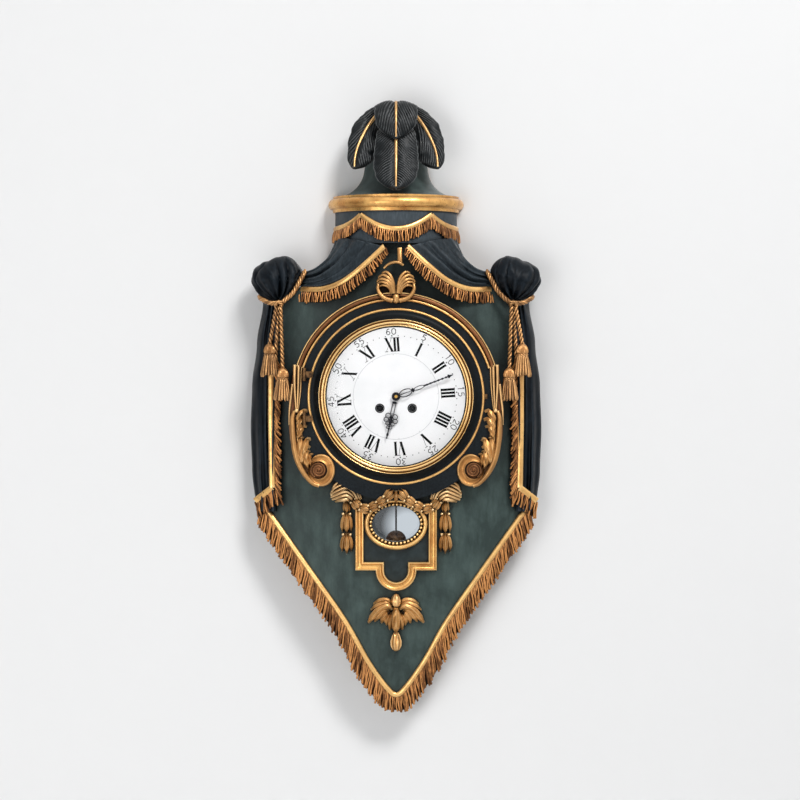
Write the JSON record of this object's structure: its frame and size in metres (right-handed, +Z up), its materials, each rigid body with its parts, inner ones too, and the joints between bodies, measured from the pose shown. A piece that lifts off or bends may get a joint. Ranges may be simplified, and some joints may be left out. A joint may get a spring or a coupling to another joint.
{
  "type": "cartel wall clock",
  "caption": "Carved draped wall clock with a feather plume, canopy, tied side drapes, fringed shield foot, glazed dial door, oval pendulum window and a striking pendulum movement.",
  "frame": {"origin": "centre of the hanger hole, on the back plane that lies on the wall", "axes": "+X to the viewer's right, +Y into the wall, +Z up; the dial faces -Y"},
  "size_m": [0.4284, 0.1061, 0.895],
  "materials": {
    "green_painted_wood": "worn dull oil paint over carved pine",
    "navy_painted_wood": "worn dark blue-black paint over carved pine",
    "gilt_wood": "burnished and toned gold leaf over carved pine",
    "black_painted_wood": "satin black paint",
    "bare_pine": "bare aged pine",
    "wrought_iron": "dark forged iron",
    "gilt_brass": "gilt, reeded and polished",
    "clear_glass": "clear polished",
    "white_enamel": "fired enamel on copper, gloss",
    "blackened_steel": "blued to black",
    "clock_brass": "grained and lacquered",
    "polished_steel": "polished",
    "bell_metal": "turned bell metal"
  },
  "bodies": {
    "case": {"front_panel": "green_painted_wood", "back_frame": "bare_pine", "hanger_plate": "wrought_iron", "hanger_screws": "wrought_iron", "canopy_dome": "green_painted_wood", "cornice": "gilt_wood", "valance": "navy_painted_wood", "valance_fringe": "gilt_wood", "plume_feathers": "navy_painted_wood", "left_swag": "navy_painted_wood", "right_swag": "navy_painted_wood", "swag_fringes": "gilt_wood", "left_knot": "navy_painted_wood", "right_knot": "navy_painted_wood", "ropes": "gilt_wood", "left_drape": "navy_painted_wood", "right_drape": "navy_painted_wood", "drape_fringes": "gilt_wood", "edge_fringe": "gilt_wood", "dial_surround": "black_painted_wood", "dial_arch": "gilt_wood", "crest": "gilt_wood", "consoles": "gilt_wood", "garland": "gilt_wood", "apron": "navy_painted_wood", "window_ring": "gilt_wood", "window_glass": "clear_glass", "leaf_spray": "gilt_wood", "hinge_pins": "blackened_steel", "dial": "white_enamel", "dial_plate": "clock_brass", "front_plate": "clock_brass", "back_plate": "clock_brass", "plate_pillars": "clock_brass", "back_cock": "clock_brass", "bell": "bell_metal"},
    "door": {"door_frame": "black_painted_wood", "bezel": "gilt_brass", "door_glass": "clear_glass", "door_hinges": "blackened_steel", "door_catch": "blackened_steel"},
    "minute_hand": {"minute_hand": "blackened_steel", "cannon_pinion": "clock_brass"},
    "hour_hand": {"hour_hand": "blackened_steel", "hour_wheel": "clock_brass"},
    "minute_wheel": {"minute_wheel": "clock_brass"},
    "going_barrel": {"going_barrel": "clock_brass"},
    "going_arbor": {"going_arbor": "polished_steel"},
    "intermediate_wheel": {"intermediate_wheel": "clock_brass"},
    "centre_wheel": {"centre_wheel": "clock_brass"},
    "third_wheel": {"third_wheel": "clock_brass"},
    "escape_wheel": {"escape_wheel": "clock_brass"},
    "strike_barrel": {"strike_barrel": "clock_brass"},
    "strike_arbor": {"strike_arbor": "polished_steel"},
    "pin_wheel": {"pin_wheel": "clock_brass"},
    "fly": {"fly": "clock_brass"},
    "anchor": {"anchor": "polished_steel"},
    "pendulum": {"pendulum_rod": "polished_steel", "pendulum_bob": "clock_brass"},
    "hammer": {"hammer": "polished_steel"}
  },
  "joints": [
    {"name": "door_swing", "type": "hinge", "parent": "case", "child": "door", "pos_m": [-0.133, -0.1005, -0.245], "axis": [0, 0, -1], "range_deg": [0, 115]},
    {"name": "minute_hand_turn", "type": "hinge", "parent": "case", "child": "minute_hand", "pos_m": [0, -0.093, -0.245], "axis": [0, -1, 0], "continuous": true},
    {"name": "hour_hand_turn", "type": "hinge", "parent": "case", "child": "hour_hand", "pos_m": [0, -0.0902, -0.245], "axis": [0, -1, 0], "continuous": true},
    {"name": "minute_wheel_turn", "type": "hinge", "parent": "case", "child": "minute_wheel", "pos_m": [0.01376, -0.074, -0.23536], "axis": [0, -1, 0], "continuous": true},
    {"name": "third_wheel_turn", "type": "hinge", "parent": "case", "child": "third_wheel", "pos_m": [0.00968, -0.048, -0.22823], "axis": [0, -1, 0], "continuous": true},
    {"name": "centre_wheel_turn", "type": "hinge", "parent": "case", "child": "centre_wheel", "pos_m": [0, -0.048, -0.245], "axis": [0, -1, 0], "continuous": true},
    {"name": "escape_wheel_turn", "type": "hinge", "parent": "case", "child": "escape_wheel", "pos_m": [0, -0.048, -0.21502], "axis": [0, -1, 0], "continuous": true},
    {"name": "intermediate_wheel_turn", "type": "hinge", "parent": "case", "child": "intermediate_wheel", "pos_m": [-0.01879, -0.048, -0.23816], "axis": [0, -1, 0], "continuous": true},
    {"name": "going_barrel_turn", "type": "hinge", "parent": "case", "child": "going_barrel", "pos_m": [-0.0235, -0.048, -0.262], "axis": [0, -1, 0], "continuous": true},
    {"name": "going_winding", "type": "hinge", "parent": "case", "child": "going_arbor", "pos_m": [-0.0235, -0.06, -0.262], "axis": [0, -1, 0], "continuous": true},
    {"name": "pin_wheel_turn", "type": "hinge", "parent": "case", "child": "pin_wheel", "pos_m": [0.00246, -0.048, -0.27415], "axis": [0, -1, 0], "continuous": true},
    {"name": "strike_barrel_turn", "type": "hinge", "parent": "case", "child": "strike_barrel", "pos_m": [0.0235, -0.048, -0.262], "axis": [0, -1, 0], "continuous": true},
    {"name": "fly_turn", "type": "hinge", "parent": "case", "child": "fly", "pos_m": [0.00465, -0.048, -0.28798], "axis": [0, -1, 0], "continuous": true},
    {"name": "strike_winding", "type": "hinge", "parent": "case", "child": "strike_arbor", "pos_m": [0.0235, -0.06, -0.262], "axis": [0, -1, 0], "continuous": true},
    {"name": "pendulum_swing", "type": "hinge", "parent": "case", "child": "pendulum", "pos_m": [0, -0.018, -0.19664], "axis": [0, -1, 0], "range_deg": [-3.5, 3.5]},
    {"name": "anchor_rock", "type": "hinge", "parent": "case", "child": "anchor", "pos_m": [0, -0.033, -0.19664], "axis": [0, -1, 0], "range_deg": [-3.5, 3.5]},
    {"name": "hammer_lift", "type": "hinge", "parent": "case", "child": "hammer", "pos_m": [0.042, -0.0485, -0.225], "axis": [0, -1, 0], "range_deg": [-12, 0], "stiffness_Nm_per_rad": 0.03, "springref_deg": 5.73}
  ],
  "couplings": [
    {"joint": "hour_hand_turn", "follows": "minute_hand_turn", "ratio": 0.083333},
    {"joint": "minute_wheel_turn", "follows": "minute_hand_turn", "ratio": -0.33333},
    {"joint": "centre_wheel_turn", "follows": "third_wheel_turn", "ratio": -0.1},
    {"joint": "escape_wheel_turn", "follows": "third_wheel_turn", "ratio": -12},
    {"joint": "intermediate_wheel_turn", "follows": "third_wheel_turn", "ratio": 0.011111},
    {"joint": "going_barrel_turn", "follows": "third_wheel_turn", "ratio": -0.0013889},
    {"joint": "strike_barrel_turn", "follows": "pin_wheel_turn", "ratio": -0.125},
    {"joint": "fly_turn", "follows": "pin_wheel_turn", "ratio": -9},
    {"joint": "anchor_rock", "follows": "pendulum_swing", "ratio": 1}
  ]
}
